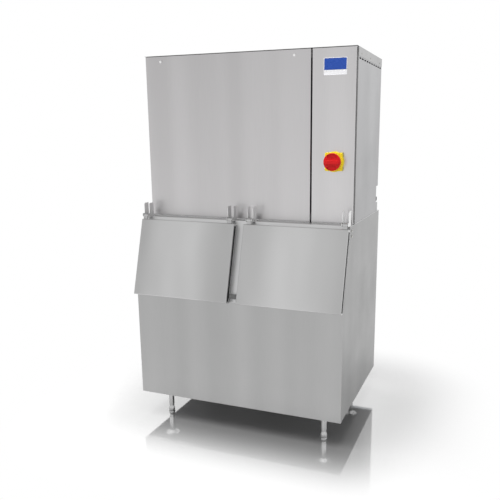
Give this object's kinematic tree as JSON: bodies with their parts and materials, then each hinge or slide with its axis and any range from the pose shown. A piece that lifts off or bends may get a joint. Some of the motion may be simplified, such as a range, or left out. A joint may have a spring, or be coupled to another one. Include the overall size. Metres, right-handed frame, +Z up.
{
  "type": "cube ice machine",
  "caption": "Commercial cube ice machine: an ice-making head behind tall brushed-steel panels, on an insulated storage bin with sloping lift-up doors and levelling feet.",
  "frame": {"origin": "on the floor, at the centre of the machine's outline", "axes": "+X to the machine's right as seen from the front, +Y to its back, +Z up"},
  "size_m": [1.219, 0.9008, 2.082],
  "materials": {
    "stainless": "brushed",
    "stainless_dark": "brushed",
    "galvanised": "spangled",
    "liner_plastic": "smooth",
    "foam": "foamed",
    "black_rubber": "matte",
    "white_rubber": "matte",
    "plated_steel": "plated",
    "black_plastic": "matte",
    "red_plastic": "moulded",
    "yellow_plastic": "moulded",
    "badge_blue": "glossy",
    "nickel": "plated",
    "clear_plastic": "translucent",
    "grey_plastic": "moulded",
    "brass": "turned",
    "copper": "drawn",
    "black_enamel": "enamelled",
    "green_board": "lacquered"
  },
  "bodies": {
    "cabinet": {"bin_side_left": "stainless", "bin_side_right": "stainless", "bin_front_panel": "stainless", "bin_hood": "stainless", "head_side_left": "stainless", "head_side_right": "stainless", "head_top_cover": "stainless", "front_panel_narrow": "stainless", "hinge_brackets": "stainless", "bin_back_panel": "galvanised", "bin_bottom_pan": "galvanised", "head_back_panel": "galvanised", "control_box": "galvanised", "head_base_pan": "stainless_dark", "bulkhead": "stainless_dark", "legs": "stainless_dark", "bin_liner": "liner_plastic", "water_trough": "liner_plastic", "insulation_boards": "foam", "centre_bumper": "black_rubber", "hinge_pins": "plated_steel", "cable_gland": "black_plastic", "contactor": "black_plastic", "isolator_switch": "black_plastic", "isolator_plate": "yellow_plastic", "badge_plate": "badge_blue", "evaporator_left": "nickel", "evaporator_right": "nickel", "water_tubes": "grey_plastic", "water_pump": "grey_plastic", "bin_drain": "grey_plastic", "pipe_fittings": "brass", "expansion_valves": "brass", "hot_gas_valve": "brass", "dump_valve": "brass", "float_valve": "brass", "refrigerant_pipes": "copper", "filter_drier": "copper", "compressor": "black_enamel", "condenser": "black_enamel", "control_board": "green_board"},
    "left_door": {"left_door_skin": "stainless", "left_door_liner": "liner_plastic", "left_door_gasket": "white_rubber"},
    "right_door": {"right_door_skin": "stainless", "right_door_liner": "liner_plastic", "right_door_gasket": "white_rubber"},
    "front_panel": {"front_panel_wide": "stainless", "captive_screws": "plated_steel"},
    "isolator": {"isolator_knob": "red_plastic", "isolator_shaft": "plated_steel"},
    "curtain_left": {"water_curtain_left": "clear_plastic"},
    "curtain_right": {"water_curtain_right": "clear_plastic"},
    "impeller": {"pump_impeller": "black_plastic"},
    "float": {"float_arm": "clear_plastic"},
    "toggle": {"toggle_lever": "plated_steel"},
    "front_left_foot": {"foot_front_left": "plated_steel"},
    "front_right_foot": {"foot_front_right": "plated_steel"},
    "back_left_foot": {"foot_back_left": "plated_steel"},
    "back_right_foot": {"foot_back_right": "plated_steel"}
  },
  "joints": [
    {"name": "left_door_hinge", "type": "hinge", "parent": "cabinet", "child": "left_door", "pos_m": [-0.323, -0.315, 1.202], "axis": [-1, 0, 0], "range_deg": [0, 167.5]},
    {"name": "right_door_hinge", "type": "hinge", "parent": "cabinet", "child": "right_door", "pos_m": [0.323, -0.315, 1.202], "axis": [-1, 0, 0], "range_deg": [0, 167.5]},
    {"name": "front_panel_tilt", "type": "hinge", "parent": "cabinet", "child": "front_panel", "pos_m": [-0.11775, -0.2, 1.21], "axis": [1, 0, 0], "range_deg": [0, 6]},
    {"name": "isolator_turn", "type": "hinge", "parent": "cabinet", "child": "isolator", "pos_m": [0.5, -0.25, 1.514], "axis": [0, 1, 0], "range_deg": [0, 90]},
    {"name": "curtain_left_swing", "type": "hinge", "parent": "cabinet", "child": "curtain_left", "pos_m": [-0.39, 0.068, 1.79], "axis": [-1, 0, 0], "range_deg": [0, 25]},
    {"name": "curtain_right_swing", "type": "hinge", "parent": "cabinet", "child": "curtain_right", "pos_m": [0.04, 0.068, 1.79], "axis": [-1, 0, 0], "range_deg": [0, 25]},
    {"name": "impeller_spin", "type": "hinge", "parent": "cabinet", "child": "impeller", "pos_m": [0.3, 0.096, 1.22], "axis": [0, 0, 1], "continuous": true},
    {"name": "float_swing", "type": "hinge", "parent": "cabinet", "child": "float", "pos_m": [-0.524, 0.119, 1.27], "axis": [0, -1, 0], "range_deg": [0, 15]},
    {"name": "toggle_throw", "type": "hinge", "parent": "cabinet", "child": "toggle", "pos_m": [0.43, -0.16, 1.635], "axis": [1, 0, 0], "range_deg": [-15, 15]},
    {"name": "front_left_foot_screw", "type": "slide", "parent": "cabinet", "child": "front_left_foot", "axis": [0, 0, -1], "range_m": [0, 0.03]},
    {"name": "back_left_foot_screw", "type": "slide", "parent": "cabinet", "child": "back_left_foot", "axis": [0, 0, -1], "range_m": [0, 0.03]},
    {"name": "front_right_foot_screw", "type": "slide", "parent": "cabinet", "child": "front_right_foot", "axis": [0, 0, -1], "range_m": [0, 0.03]},
    {"name": "back_right_foot_screw", "type": "slide", "parent": "cabinet", "child": "back_right_foot", "axis": [0, 0, -1], "range_m": [0, 0.03]}
  ]
}
